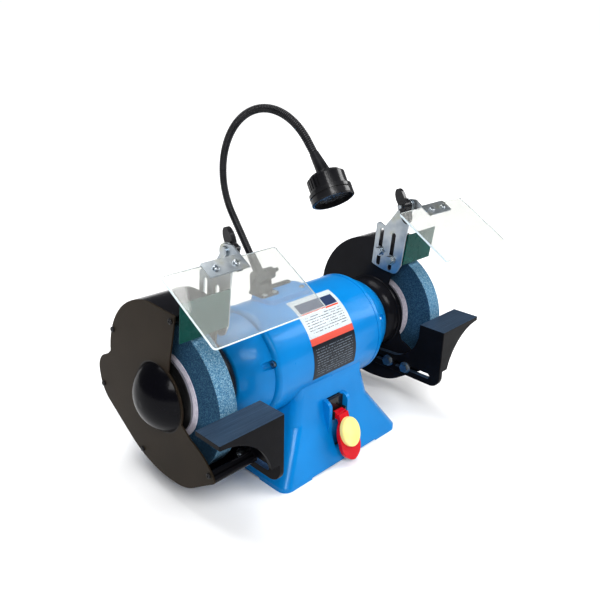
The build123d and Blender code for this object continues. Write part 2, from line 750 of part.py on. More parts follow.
# ---------------------------------------------------------------- eye shields
SHIELD_DIR = (-cos(radians(SHIELD_SLOPE)), -sin(radians(SHIELD_SLOPE)))
SHIELD_UP = (-sin(radians(SHIELD_SLOPE)), cos(radians(SHIELD_SLOPE)))
SHIELD_PLANE = Plane(
    (0, SHIELD_BACK[0], SHIELD_BACK[1]),
    x_dir=(1, 0, 0),
    z_dir=(0, SHIELD_UP[0], SHIELD_UP[1]),
)
STRIP_X0, STRIP_X1 = 176.0, 228.0
SHIELD_SCREWS_X = (186.0, 214.0)
STRIP_DEPTH = 19.0


def eye_shield():
    """Clear plate with two screw holes."""
    with BuildPart() as shield:
        with BuildSketch(SHIELD_PLANE):
            with Locations(((SHIELD_X0 + SHIELD_X1) / 2, -SHIELD_DEPTH / 2)):
                RectangleRounded(SHIELD_X1 - SHIELD_X0, SHIELD_DEPTH, 4)
            with Locations(*((x, -STRIP_DEPTH / 2) for x in SHIELD_SCREWS_X)):
                Circle(2.2, mode=Mode.SUBTRACT)
        extrude(amount=-SHIELD_T)
    return shield.part


def shield_bracket():
    """Bent bracket: strip on the shield and an ear at the hinge."""
    with BuildPart() as bracket:
        with BuildSketch(SHIELD_PLANE.offset(0.05)):
            with Locations(((STRIP_X0 + STRIP_X1) / 2, -STRIP_DEPTH / 2 + 1)):
                RectangleRounded(STRIP_X1 - STRIP_X0, STRIP_DEPTH + 2, 3)
            with Locations((STRIP_X0 - 0.2, -STRIP_DEPTH / 2 + 1)):
                Rectangle(6, STRIP_DEPTH + 2)
            with Locations(*((x, -STRIP_DEPTH / 2) for x in SHIELD_SCREWS_X)):
                Circle(2.2, mode=Mode.SUBTRACT)
        extrude(amount=1.6)
        with BuildSketch(Plane.YZ.offset(DEFLECTOR_X0 + DEFLECTOR_T + CLEAR)):
            with BuildLine():
                end_y = SHIELD_BACK[0] + SHIELD_DIR[0] * (STRIP_DEPTH)
                end_z = SHIELD_BACK[1] + SHIELD_DIR[1] * (STRIP_DEPTH)
                top = (SHIELD_BACK[0] + 1.6 * SHIELD_UP[0], SHIELD_BACK[1] + 1.6 * SHIELD_UP[1])
                Polyline(
                    (PIVOT[0] + 1, PIVOT[1] + 9.5),
                    (PIVOT[0] - 14, PIVOT[1] + 10.5),
                    top,
                    (end_y + 1.6 * SHIELD_UP[0], end_z + 1.6 * SHIELD_UP[1]),
                    (end_y + 0.06 * SHIELD_UP[0], end_z + 0.06 * SHIELD_UP[1]),
                    (SHIELD_BACK[0] + 1 + 0.06 * SHIELD_UP[0], SHIELD_BACK[1] + 0.6 + 0.06 * SHIELD_UP[1]),
                    (SHIELD_BACK[0] + 5, SHIELD_BACK[1] - 5),
                    (PIVOT[0] - 8, PIVOT[1] - 8),
                    (PIVOT[0] - 1, PIVOT[1] - 9.5),
                )
                ThreePointArc(
                    (PIVOT[0] - 1, PIVOT[1] - 9.5),
                    (PIVOT[0] + 9.4, PIVOT[1]),
                    (PIVOT[0] + 1, PIVOT[1] + 9.5),
                )
            make_face()
            with Locations(PIVOT):
                Circle(3.1, mode=Mode.SUBTRACT)
        extrude(amount=2.0)
    return bracket.part


def shield_screws():
    """Two pan-head screws with nuts that hold the shield to its bracket."""
    pieces = []
    for x in SHIELD_SCREWS_X:
        y = SHIELD_BACK[0] + SHIELD_DIR[0] * STRIP_DEPTH / 2
        z = SHIELD_BACK[1] + SHIELD_DIR[1] * STRIP_DEPTH / 2
        seat = Plane((x, y, z), x_dir=(1, 0, 0), z_dir=(0, SHIELD_UP[0], SHIELD_UP[1]))
        pieces.append(pan_screw(seat.offset(1.7), 4.2, 2.6, 2.0, 8.4))
        with BuildPart() as nut:
            with BuildSketch(seat.offset(-SHIELD_T - 0.05)):
                RegularPolygon(3.6, 6, major_radius=False)
                Circle(2.05, mode=Mode.SUBTRACT)
            extrude(amount=-2.6)
        pieces.append(nut.part)
    return group(pieces)


def pivot_bolt():
    """Carriage bolt through the bracket and the shield's ear."""
    y, z = PIVOT
    ear_out = DEFLECTOR_X0 + DEFLECTOR_T + CLEAR + 2.0
    with BuildPart() as bolt:
        with BuildSketch(Plane.YZ.offset(ear_out + 0.1)):
            with Locations((y, z)):
                Circle(6.2)
        extrude(amount=2.6)
        with BuildSketch(Plane.YZ.offset(ear_out + 0.1)):
            with Locations((y, z)):
                Circle(3.0)
        extrude(amount=-22)
    return bolt.part


def wing_knob():
    """Moulded wing knob: hub and two rounded lobes."""
    y, z = PIVOT
    face = DEFLECTOR_X0 - CLEAR
    with BuildPart() as knob:
        with BuildSketch(Plane.YZ.offset(face)):
            with Locations((y, z)):
                Circle(9)
        extrude(amount=-12, taper=8)
        with BuildSketch(Plane.YZ.offset(face - 4)):
            for turn in (65, 245):
                with Locations(Location((y + 13 * cos(radians(turn)), z + 13 * sin(radians(turn)), 0), (0, 0, turn))):
                    Ellipse(14, 7.5)
        extrude(amount=-6.5)
        with BuildSketch(Plane.YZ.offset(face)):
            with Locations((y, z)):
                Circle(3.05)
        extrude(amount=-20, mode=Mode.SUBTRACT)
    return knob.part


# ---------------------------------------------------------------- switch
PADDLE_DOWN = (-sin(radians(PADDLE_SLOPE)), -cos(radians(PADDLE_SLOPE)))
PADDLE_OUT = (-cos(radians(PADDLE_SLOPE)), sin(radians(PADDLE_SLOPE)))
PADDLE_ORIGIN = (0, PADDLE_PIVOT[0] - 6.5, PADDLE_PIVOT[1] - 2)
PADDLE_PLANE = Plane(PADDLE_ORIGIN, x_dir=(1, 0, 0), z_dir=(0, PADDLE_OUT[0], PADDLE_OUT[1]))
KEY_DOWN = 24.0


def switch_body():
    """Switch block with its face plate and the ears that carry the paddle's pin."""
    y, z = PADDLE_PIVOT
    with BuildPart() as body:
        with Locations((0, -81, 76.5)):
            Box(30, 2, 31)
        with Locations((0, -65, 77)):
            Box(26, 30, 31.5)
        for side in (-1, 1):
            with Locations((side * 11.8, y + 2.5, z)):
                Box(2.8, 13, 12)
        with BuildSketch(Plane.YZ.offset(-13.2)):
            with Locations((y, z)):
                Circle(2.0)
        extrude(amount=26.4)
    return body.part


def switch_paddle():
    """Red stop paddle hinged above the key."""
    with BuildPart() as paddle:
        with BuildSketch(PADDLE_PLANE):
            with BuildLine():
                Polyline((-9.5, 4), (9.5, 4), (9.5, -8))
                ThreePointArc((9.5, -8), (18, -22), (19, -38))
                ThreePointArc((19, -38), (14, -58), (0, -66))
                ThreePointArc((0, -66), (-14, -58), (-19, -38))
                ThreePointArc((-19, -38), (-18, -22), (-9.5, -8))
                Line((-9.5, -8), (-9.5, 4))
            make_face()
        extrude(amount=6)
        with BuildSketch(Plane.YZ.offset(-9.5)):
            with Locations(PADDLE_PIVOT):
                Circle(4.6)
            with Locations((PADDLE_PIVOT[0] - 3.4, PADDLE_PIVOT[1] - 0.3)):
                Rectangle(6.8, 8.6)
        extrude(amount=19)
        with BuildSketch(Plane.YZ.offset(-10)):
            with Locations(PADDLE_PIVOT):
                Circle(2.3)
        extrude(amount=20, mode=Mode.SUBTRACT)
        with BuildSketch(PADDLE_PLANE.offset(1.5)):
            with Locations((0, -KEY_DOWN)):
                Rectangle(14.6, 4.6)
        extrude(amount=20, mode=Mode.SUBTRACT)
    return paddle.part


def safety_key():
    """Yellow lift-out key: oval cap and a flat tongue into the paddle."""
    with BuildPart() as key:
        with BuildSketch(PADDLE_PLANE.offset(6.3)):
            with Locations((0, -KEY_DOWN)):
                Ellipse(17.5, 21.5)
        extrude(amount=8)
        fillet(key.edges().sort_by(Axis.Y)[0], 2.5)
        with BuildSketch(PADDLE_PLANE.offset(2.0)):
            with Locations((0, -KEY_DOWN)):
                Rectangle(14, 4)
        extrude(amount=5)
    return key.part


# ---------------------------------------------------------------- lamp
def lamp_foot():
    """Foot plate with the two upright ears that hold the gooseneck's socket."""
    y, z = LAMP_PIVOT
    with BuildPart() as foot:
        with BuildSketch(Plane.XY.offset(PAD_Z + 0.05)):
            with Locations((LAMP_X, y - 7)):
                RectangleRounded(32, 32, 4)
            with Locations((LAMP_X + 26, y + 3)):
                RectangleRounded(66, 9, 3)
        extrude(amount=2.5)
        with BuildSketch(Plane.XY.offset(PAD_Z + 2)):
            with Locations((LAMP_X, y - 2)):
                RectangleRounded(27, 21, 3)
        with BuildSketch(Plane.XY.offset(PAD_Z + 14)):
            with Locations((LAMP_X, y - 1.5)):
                RectangleRounded(24, 17, 2)
        loft()
        for side in (-1, 1):
            with BuildSketch(Plane.YZ.offset(LAMP_X + side * 10.5 - 1.5)):
                with BuildLine():
                    Polyline((y - 12, PAD_Z + 1), (y + 8, PAD_Z + 1), (y + 8.5, z))
                    ThreePointArc((y + 8.5, z), (y, z + 8.5), (y - 8.5, z))
                    Line((y - 8.5, z), (y - 12, PAD_Z + 1))
                make_face()
            extrude(amount=3)
        with BuildSketch(Plane.YZ.offset(LAMP_X - 13)):
            with Locations(LAMP_PIVOT):
                Circle(2.5)
        extrude(amount=35)
        with BuildSketch(Plane.XY.offset(PAD_Z)):
            with Locations(*LAMP_SCREWS[:2]):
                Circle(2.3)
        extrude(amount=4, mode=Mode.SUBTRACT)
    return foot.part


def lamp_screws():
    """Screws of the lamp foot and the spare one in the pad."""
    screws = []
    for x, y in LAMP_SCREWS:
        seat = Plane((x, y, PAD_Z + (2.6 if x < -30 else 0.05)), z_dir=(0, 0, 1))
        screws.append(pan_screw(seat, 3.8, 2.4, 2.0, 8))
    return group(screws)


def lamp_knob():
    """Round clamp knob on the lamp's hinge bolt."""
    y, z = LAMP_PIVOT
    start = LAMP_X + 12.0 + CLEAR
    with BuildPart() as knob:
        with BuildSketch(Plane.YZ.offset(start)):
            with Locations((y, z)):
                Circle(8.5)
                Circle(2.55, mode=Mode.SUBTRACT)
            with Locations(*((y + 8.5 * cos(radians(a)), z + 8.5 * sin(radians(a))) for a in range(0, 360, 30))):
                Circle(0.9, mode=Mode.SUBTRACT)
        extrude(amount=9)
        with BuildSketch(Plane.YZ.offset(start + 6)):
            with Locations(Location((y, z), -35)):
                SlotOverall(30, 5.5)
                Circle(2.55, mode=Mode.SUBTRACT)
        extrude(amount=4.5)
    return knob.part


def bow_point(angle):
    """Point of the gooseneck's bow, as y and z."""
    rise = radians(angle)
    return (NECK_CENTRE[0] + NECK_BOW_R * cos(rise), NECK_CENTRE[1] + NECK_BOW_R * sin(rise))


def neck_runs():
    """The gooseneck's line: straight run, bow up to the bend, bow over the top, straight end."""
    tip = bow_point(NECK_LAST_ANGLE)
    turn = radians(NECK_LAST_ANGLE + 90)
    with BuildLine(Plane.YZ):
        edges = [
            Line(LAMP_PIVOT, NECK_BOTTOM),
            ThreePointArc(NECK_BOTTOM, bow_point(-18), bow_point(0)),
            ThreePointArc(bow_point(0), bow_point(71), tip),
            Line(tip, (tip[0] + NECK_END_RUN * cos(turn), tip[1] + NECK_END_RUN * sin(turn))),
        ]
    return [Pos(LAMP_X, 0, 0) * edge for edge in edges]


def neck_lower():
    """Lower gooseneck with its conical boot and hinge eye; its top end is round for the bend."""
    runs = neck_runs()[:2]
    foot, foot_dir = runs[0] @ 0, runs[0] % 0
    with BuildPart() as neck:
        for run in runs:
            with BuildSketch(Plane(run @ 0, z_dir=run % 0)):
                Circle(NECK_TUBE_R)
            sweep(path=run)
        with BuildSketch(Plane(foot, z_dir=foot_dir)):
            Circle(7.6)
        with BuildSketch(Plane(foot + foot_dir * 34, z_dir=foot_dir)):
            Circle(NECK_TUBE_R + 0.4)
        loft()
        with BuildSketch(Plane.YZ.offset(LAMP_X - 8.6)):
            with Locations(LAMP_PIVOT):
                Circle(7.6)
        extrude(amount=17.2)
        with BuildSketch(Plane.YZ.offset(LAMP_X - 8.7)):
            with Locations(LAMP_PIVOT):
                Circle(2.8)
        extrude(amount=17.4, mode=Mode.SUBTRACT)
        with Locations(runs[-1] @ 1):
            Sphere(NECK_TUBE_R)
    return neck.part


def neck_upper():
    """Upper gooseneck: starts clear of the bend point and ends in a ball behind the head."""
    runs = neck_runs()[2:]
    start = runs[0] @ 0
    cut = Pos(start.X, start.Y, start.Z) * Sphere(NECK_TUBE_R + 2.2)
    end, end_dir = runs[-1] @ 1, runs[-1] % 1
    with BuildPart() as neck:
        for run in runs:
            with BuildSketch(Plane(run @ 0, z_dir=run % 0)):
                Circle(NECK_TUBE_R)
            sweep(path=run)
        with BuildSketch(Plane(end - end_dir * BOOT_LEN, z_dir=end_dir)):
            Circle(NECK_TUBE_R + 0.3)
        with BuildSketch(Plane(end, z_dir=end_dir)):
            Circle(8.2)
        loft()
        with Locations(end):
            Sphere(8.2)
        add(cut, mode=Mode.SUBTRACT)
    return neck.part


HEAD_PIVOT = neck_runs()[-1] @ 1
HEAD_PLANE = Plane(HEAD_PIVOT + HEAD_DIR * HEAD_GAP, x_dir=(1, 0, 0.0), z_dir=HEAD_DIR)


def lamp_head():
    """Finned lamp housing, hollow from the front."""
    socket = Pos(HEAD_PIVOT.X, HEAD_PIVOT.Y, HEAD_PIVOT.Z) * Sphere(8.5)
    with BuildPart() as head:
        with BuildSketch(HEAD_PLANE):
            Circle(HEAD_R - 4.5)
        with BuildSketch(HEAD_PLANE.offset(4)):
            Circle(HEAD_R)
        loft()
        with BuildSketch(HEAD_PLANE.offset(4)):
            Circle(HEAD_R)
        extrude(amount=HEAD_LEN - 4)
        # cooling slots down the outer half of the housing
        with BuildSketch(HEAD_PLANE.offset(1)):
            with PolarLocations(HEAD_R, 15, start_angle=160, angular_range=180):
                Rectangle(4.4, 1.9)
        extrude(amount=HEAD_LEN - 4, mode=Mode.SUBTRACT)
        with BuildSketch(HEAD_PLANE.offset(HEAD_LEN - 10)):
            Circle(HEAD_R - 4)
        extrude(amount=20, mode=Mode.SUBTRACT)
        add(socket, mode=Mode.SUBTRACT)
    return head.part


def lamp_bezel():
    """Flared front ring of the lamp."""
    with BuildPart() as bezel:
        with BuildSketch(HEAD_PLANE.offset(HEAD_LEN + 0.05)):
            Circle(BEZEL_R - 1.5)
        extrude(amount=BEZEL_LEN)
        for start, length in ((0.6, 4.4), (6.6, BEZEL_LEN - 7.4)):
            with BuildSketch(HEAD_PLANE.offset(HEAD_LEN + start)):
                Circle(BEZEL_R)
            extrude(amount=length)
        with BuildSketch(HEAD_PLANE.offset(HEAD_LEN - 1)):
            Circle(HEAD_R - 4)
        extrude(amount=40, mode=Mode.SUBTRACT)
        with BuildSketch(HEAD_PLANE.offset(HEAD_LEN + 5)):
            Circle(BEZEL_R - 3)
        extrude(amount=40, mode=Mode.SUBTRACT)
    return bezel.part


def lamp_lens():
    """Round lens seated in the bezel."""
    with BuildPart() as lens:
        with BuildSketch(HEAD_PLANE.offset(HEAD_LEN + 5.1)):
            Circle(BEZEL_R - 3.1)
        extrude(amount=2.5)
    return lens.part


# ---------------------------------------------------------------- small pieces
def rating_label():
    """Curved label on the front of the motor shell."""
    with BuildPart() as label:
        with BuildSketch(BORE_X.offset(-42.3)):
            Circle(MOTOR_R + 0.35)
            Circle(MOTOR_R + 0.05, mode=Mode.SUBTRACT)
        extrude(amount=86)
        with BuildSketch(BORE_X.offset(-43)):
            with BuildLine():
                far = [(-120 * cos(radians(a)), 120 * sin(radians(a))) for a in (-15, 30, 75)]
                Polyline((0, 0), *far, close=True)
            make_face()
        extrude(amount=90, mode=Mode.INTERSECT)
    return label.part


def capacitor():
    """Run capacitor inside the base."""
    with BuildPart() as can:
        with BuildSketch(Plane.YZ.offset(-40)):
            with Locations((38, 42)):
                Circle(17)
        extrude(amount=70)
        fillet(can.edges(), 2)
    return can.part


def plate_screws():
    """Four screws that hold the bottom plate."""
    seats = [(x, y, 3.35) for x in (-PLATE_SCREW_X, PLATE_SCREW_X) for y in (-PLATE_SCREW_Y, PLATE_SCREW_Y)]
    return group([pan_screw(Plane(seat, z_dir=(0, 0, -1)), 3.2, 2.0, 1.8, 9) for seat in seats])


def windings():
    """Copper end turns either side of the stator."""
    end = lathe(((36.2, 46), (36.2, 66), (52, 68), (58, 62), (58, 50), (52, 46)))
    return both_ends(end)


def main():
    save(base_casting(), "base_casting")
    save(base_plate(), "base_bottom_plate")
    save(plate_screws(), "bottom_plate_screws")
    save(cord_gland(), "cord_gland")
    save(capacitor(), "run_capacitor")
    save(motor_shell(), "motor_shell")
    save_pair(end_bell(), "end_bell")
    save(bell_screws(), "bell_screws")
    save(stator_core(), "stator_core")
    save(windings(), "stator_windings")
    bearing_x1 = BEARING_X + BEARING_W
    save(both_ends(ring(BEARING_X, bearing_x1, BEARING_R, BEARING_RACE_R + 0.05)), "bearing_outer_rings")
    save(rating_label(), "rating_label")

    save(spindle(), "spindle_shaft")
    save(both_ends(ring(BEARING_X, bearing_x1, BEARING_RACE_R, SPINDLE_R)), "bearing_inner_rings")
    save(rotor_core(), "rotor_core")
    save(cooling_fan(), "cooling_fan")
    save_pair(grinding_wheel(), "grinding_wheel")
    wheel_in, wheel_out = WHEEL_X - WHEEL_W / 2, WHEEL_X + WHEEL_W / 2
    save(both_ends(wheel_flange(wheel_in - 1, -1)), "inner_flanges")
    save(both_ends(wheel_flange(wheel_out + 1, 1)), "outer_flanges")
    blotters = [ring(wheel_in - 1, wheel_in, 58.2, 16), ring(wheel_out, wheel_out + 1, 58.2, 16)]
    save(both_ends(group(blotters)), "wheel_blotters")
    save(both_ends(ring(wheel_in, wheel_out, 15.9, ARBOR_R)), "wheel_bushings")
    save(both_ends(spindle_nut()), "spindle_nuts")

    save_pair(guard_body(), "guard_body")
    save_pair(guard_cover(), "guard_cover")
    save(cover_screws(), "cover_screws")
    save(guard_screws(), "guard_mount_screws")
    save_pair(tool_rest(), "tool_rest")
    save(rest_bolts(), "tool_rest_bolts")
    save_pair(deflector_bracket(), "deflector_bracket")
    save_pair(deflector_plate(), "deflector_plate")
    save(deflector_bolts(), "deflector_bolts")
    save_pair(eye_shield(), "eye_shield")
    save_pair(shield_bracket(), "shield_bracket")
    save_pair(shield_screws(), "shield_screws")
    save_pair(pivot_bolt(), "shield_pivot_bolt")
    save_pair(wing_knob(), "wing_knob")

    save(switch_body(), "switch_body")
    save(switch_paddle(), "switch_paddle")
    save(safety_key(), "safety_key")

    save(lamp_foot(), "lamp_foot")
    save(lamp_screws(), "lamp_foot_screws")
    save(lamp_knob(), "lamp_clamp_knob")
    save(neck_lower(), "lamp_neck_lower")
    save(neck_upper(), "lamp_neck_upper")
    save(lamp_head(), "lamp_head")
    save(lamp_bezel(), "lamp_bezel")
    save(lamp_lens(), "lamp_lens")


main()
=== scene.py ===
"""Looks of an eight inch bench grinder with a work lamp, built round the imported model.

Metres.  +Z is up, +X runs along the spindle to the right-hand wheel and -Y is the operator's side.
Shapes made in CAD are carried over: castings, sheet metal and moulded pieces are welded and get their edges
rounded here; the gooseneck's sleeve, the printed label and the wheels' dressed faces are made here.
"""

import json
import math

import bmesh
import bpy
from mathutils import Matrix, Vector


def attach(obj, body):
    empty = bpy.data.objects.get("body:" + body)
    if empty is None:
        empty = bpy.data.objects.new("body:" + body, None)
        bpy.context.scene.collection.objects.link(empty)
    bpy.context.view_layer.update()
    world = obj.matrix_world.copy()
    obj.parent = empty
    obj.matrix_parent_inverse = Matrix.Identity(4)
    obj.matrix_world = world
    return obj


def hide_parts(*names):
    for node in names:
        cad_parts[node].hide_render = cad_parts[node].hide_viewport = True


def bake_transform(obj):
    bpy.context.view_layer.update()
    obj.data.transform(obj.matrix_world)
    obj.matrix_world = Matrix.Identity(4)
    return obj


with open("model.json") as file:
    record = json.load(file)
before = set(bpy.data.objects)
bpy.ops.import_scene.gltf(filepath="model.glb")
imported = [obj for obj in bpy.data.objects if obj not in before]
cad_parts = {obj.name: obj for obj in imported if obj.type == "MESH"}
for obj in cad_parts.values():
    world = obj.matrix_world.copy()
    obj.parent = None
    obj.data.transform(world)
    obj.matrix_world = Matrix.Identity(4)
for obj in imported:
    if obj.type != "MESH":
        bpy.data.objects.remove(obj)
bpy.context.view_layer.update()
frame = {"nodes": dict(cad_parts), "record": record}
NODES = frame["nodes"]

SIDES = ("left", "right")
SHAFT_Z = 0.153
WHEEL_RADIUS = 0.1016
DOME_RADIUS = 0.046
LAMP_X = -0.051
SHIELD_SLOPE = math.radians(31.0)


# ---------------------------------------------------------------- material building
class Finish:
    """One procedural material: a Principled shader and short ways to feed its sockets."""

    def __init__(self, name, **constants):
        self.material = bpy.data.materials.new(name)
        self.material.use_nodes = True
        self.tree = self.material.node_tree
        self.shader = self.tree.nodes["Principled BSDF"]
        self.place = self.node("TexCoord").outputs["Object"]
        for socket, value in constants.items():
            self.shader.inputs[socket.replace("_", " ")].default_value = value

    def node(self, kind, **settings):
        made = self.tree.nodes.new("ShaderNode" + kind)
        for key, value in settings.items():
            setattr(made, key, value)
        return made

    def link(self, source, target):
        self.tree.links.new(source, target)

    def stretched(self, scale):
        """Object coordinates scaled per axis."""
        mapping = self.node("Mapping")
        mapping.inputs["Scale"].default_value = scale
        self.link(self.place, mapping.inputs["Vector"])
        return mapping.outputs["Vector"]

    def noise(self, scale, detail=2.0, rough=0.5, place=None):
        made = self.node("TexNoise")
        made.inputs["Scale"].default_value = scale
        made.inputs["Detail"].default_value = detail
        made.inputs["Roughness"].default_value = rough
        self.link(place or self.place, made.inputs["Vector"])
        return made.outputs["Fac"]

    def cells(self, scale, output="Color", feature="F1"):
        made = self.node("TexVoronoi", feature=feature)
        made.inputs["Scale"].default_value = scale
        self.link(self.place, made.inputs["Vector"])
        return made.outputs[output]

    def ramp(self, value, *stops):
        """Colour or grey from a value; stops are (position, (r, g, b)) or (position, grey)."""
        made = self.node("ValToRGB")
        ramp = made.color_ramp
        while len(ramp.elements) < len(stops):
            ramp.elements.new(0.5)
        for element, (position, colour) in zip(ramp.elements, stops):
            element.position = position
            rgb = colour if isinstance(colour, tuple) else (colour, colour, colour)
            element.color = (*rgb, 1.0)
        self.link(value, made.inputs["Fac"])
        return made.outputs["Color"]

    def mix(self, factor, first, second, blend="MIX"):
        made = self.node("Mix", data_type="RGBA", blend_type=blend)
        for source, socket in ((factor, made.inputs[0]), (first, made.inputs[6]), (second, made.inputs[7])):
            if isinstance(source, tuple):
                socket.default_value = (*source, 1.0)
            elif isinstance(source, float):
                socket.default_value = source
            else:
                self.link(source, socket)
        return made.outputs[2]

    def math(self, operation, first, second=0.0, third=0.0):
        made = self.node("Math", operation=operation)
        for source, socket in zip((first, second, third), made.inputs):
            if isinstance(source, (int, float)):
                socket.default_value = source
            else:
                self.link(source, socket)
        return made.outputs[0]

    def axis(self, name):
        made = self.node("SeparateXYZ")
        self.link(self.place, made.inputs[0])
        return made.outputs[name]

    def shaft_radius(self):
        """Distance from the spindle's axis."""
        y, z = self.axis("Y"), self.math("SUBTRACT", self.axis("Z"), SHAFT_Z)
        squares = self.math("ADD", self.math("MULTIPLY", y, y), self.math("MULTIPLY", z, z))
        return self.math("SQRT", squares)

    def colour(self, source):
        self.link(source, self.shader.inputs["Base Color"])

    def roughness(self, source, low, high):
        made = self.node("MapRange")
        made.inputs["To Min"].default_value = low
        made.inputs["To Max"].default_value = high
        self.link(source, made.inputs["Value"])
        self.link(made.outputs["Result"], self.shader.inputs["Roughness"])

    def bump(self, height, distance, strength=1.0):
        """Adds relief; a second call stacks on the first."""
        made = self.node("Bump")
        made.inputs["Strength"].default_value = strength
        made.inputs["Distance"].default_value = distance
        self.link(height, made.inputs["Height"])
        before = self.shader.inputs["Normal"].links
        if before:
            self.link(before[0].from_socket, made.inputs["Normal"])
        self.link(made.outputs["Normal"], self.shader.inputs["Normal"])


def blue_enamel():
    """Glossy enamel over a casting, with a faint orange peel."""
    finish = Finish("blue_enamel", Coat_Weight=0.16, Coat_Roughness=0.06, Specular_IOR_Level=0.2)
    patches = finish.noise(9.0, 3.0)
    finish.colour(finish.ramp(patches, (0.3, (0.0, 0.195, 0.50)), (0.7, (0.0, 0.245, 0.61))))
    finish.roughness(finish.noise(60.0, 4.0), 0.24, 0.38)
    finish.bump(finish.noise(420.0, 2.0), 0.00012, 0.5)
    finish.bump(finish.noise(38.0, 2.0), 0.0006, 0.25)
    return finish.material


def powder_coat(name, low, high, rough_low, rough_high, grain, depth):
    """Black powder coat with its fine pebble."""
    finish = Finish(name, Specular_IOR_Level=0.1)
    finish.colour(finish.ramp(finish.noise(14.0, 4.0), (0.3, low), (0.7, high)))
    finish.roughness(finish.noise(90.0, 3.0), rough_low, rough_high)
    finish.bump(finish.noise(grain, 3.0), depth, 0.6)
    return finish.material


def cover_coat_with_painted_reflection():
    """Black coat on the covers: the flat plate has a fine texture and a brown tint that is a painted
    reflection of a warm wall; the pressed dome stays plain black and glossier.
    """
    finish = Finish("cover_black_painted_reflection", Specular_IOR_Level=0.12)
    flat = finish.node("MapRange")
    finish.link(finish.shaft_radius(), flat.inputs["Value"])
    flat.inputs["From Min"].default_value = DOME_RADIUS - 0.0005
    flat.inputs["From Max"].default_value = DOME_RADIUS + 0.0025
    # brown tint of the flat plate: painted reflection of a warm wall; the dome keeps the plain black
    coat = finish.ramp(finish.noise(14.0, 4.0), (0.3, (0.021, 0.015, 0.009)), (0.7, (0.030, 0.021, 0.013)))
    finish.colour(finish.mix(flat.outputs["Result"], (0.003, 0.003, 0.005), coat))
    gloss = finish.math("MULTIPLY_ADD", flat.outputs["Result"], 0.30, 0.2)
    finish.link(gloss, finish.shader.inputs["Roughness"])
    finish.bump(finish.math("MULTIPLY", finish.noise(620.0, 3.0), flat.outputs["Result"]), 0.0002, 0.5)
    return finish.material


def zinc_plate():
    """Bright zinc plating with a slight iridescence and rolling marks."""
    finish = Finish("zinc_plate", Metallic=1.0)
    tint = finish.noise(45.0, 3.0)
    finish.colour(
        finish.ramp(tint, (0.3, (0.30, 0.34, 0.38)), (0.55, (0.44, 0.47, 0.49)), (0.75, (0.42, 0.43, 0.37)))
    )
    finish.roughness(finish.noise(160.0, 4.0), 0.22, 0.42)
    finish.bump(finish.noise(1.0, 2.0, place=finish.stretched((900.0, 900.0, 60.0))), 0.00004, 0.4)
    return finish.material


def rest_iron():
    """Black enamelled casting whose top is machined, with tool marks along the table."""
    finish = Finish("rest_iron", Specular_IOR_Level=0.1)
    normal = finish.node("SeparateXYZ")
    finish.link(finish.tree.nodes["Texture Coordinate"].outputs["Normal"], normal.inputs[0])
    top = finish.math("GREATER_THAN", normal.outputs["Z"], 0.9)
    lay = finish.noise(1.0, 4.0, 0.7, finish.stretched((14.0, 1500.0, 40.0)))
    machined = finish.ramp(lay, (0.25, (0.030, 0.050, 0.080)), (0.8, (0.10, 0.16, 0.25)))
    painted = finish.ramp(finish.noise(30.0, 4.0), (0.3, (0.002, 0.002, 0.003)), (0.7, (0.005, 0.005, 0.007)))
    finish.colour(finish.mix(top, painted, machined))
    finish.roughness(lay, 0.30, 0.52)
    finish.link(finish.math("MULTIPLY", top, 0.55), finish.shader.inputs["Metallic"])
    finish.bump(finish.noise(260.0, 3.0), 0.0002, 0.45)
    return finish.material


def bonded_grit():
    """Grey-blue bonded abrasive: coarse grains, paler where the rim has been dressed."""
    finish = Finish("bonded_grit", Specular_IOR_Level=0.15)
    grains = finish.cells(1150.0)
    shade = finish.node("RGBToBW")
    finish.link(grains, shade.inputs[0])
    face = finish.ramp(
        shade.outputs[0],
        (0.15, (0.010, 0.040, 0.085)),
        (0.5, (0.020, 0.072, 0.140)),
        (0.9, (0.06, 0.15, 0.23)),
    )
    dressed = finish.ramp(
        shade.outputs[0], (0.1, (0.040, 0.125, 0.22)), (0.5, (0.09, 0.23, 0.36)), (0.9, (0.32, 0.48, 0.58))
    )
    rim = finish.math("GREATER_THAN", finish.shaft_radius(), WHEEL_RADIUS - 0.0009)
    finish.colour(finish.mix(rim, face, dressed))
    finish.roughness(finish.noise(300.0, 4.0), 0.75, 0.95)
    finish.bump(finish.cells(1150.0, "Distance"), 0.0004, 0.8)
    finish.bump(finish.noise(1500.0, 3.0), 0.0003, 0.7)
    return finish.material


def blotter_card():
    """Pale printed card under the flanges."""
    finish = Finish("blotter_card", Roughness=0.85)
    finish.colour(finish.ramp(finish.noise(220.0, 5.0), (0.3, (0.50, 0.47, 0.56)), (0.7, (0.68, 0.65, 0.72))))
    finish.bump(finish.noise(900.0, 3.0), 0.00006, 0.6)
    return finish.material


def moulded(name, low, high, rough=(0.2, 0.34), coat=0.0, grain=700.0, depth=0.00004):
    """Moulded plastic with slight flow variation and a fine mould grain."""
    finish = Finish(name, Coat_Weight=coat, Coat_Roughness=0.1, Specular_IOR_Level=0.22)
    finish.colour(finish.ramp(finish.noise(35.0, 3.0), (0.3, low), (0.7, high)))
    finish.roughness(finish.noise(120.0, 4.0), *rough)
    finish.bump(finish.noise(grain, 2.0), depth, 0.6)
    return finish.material


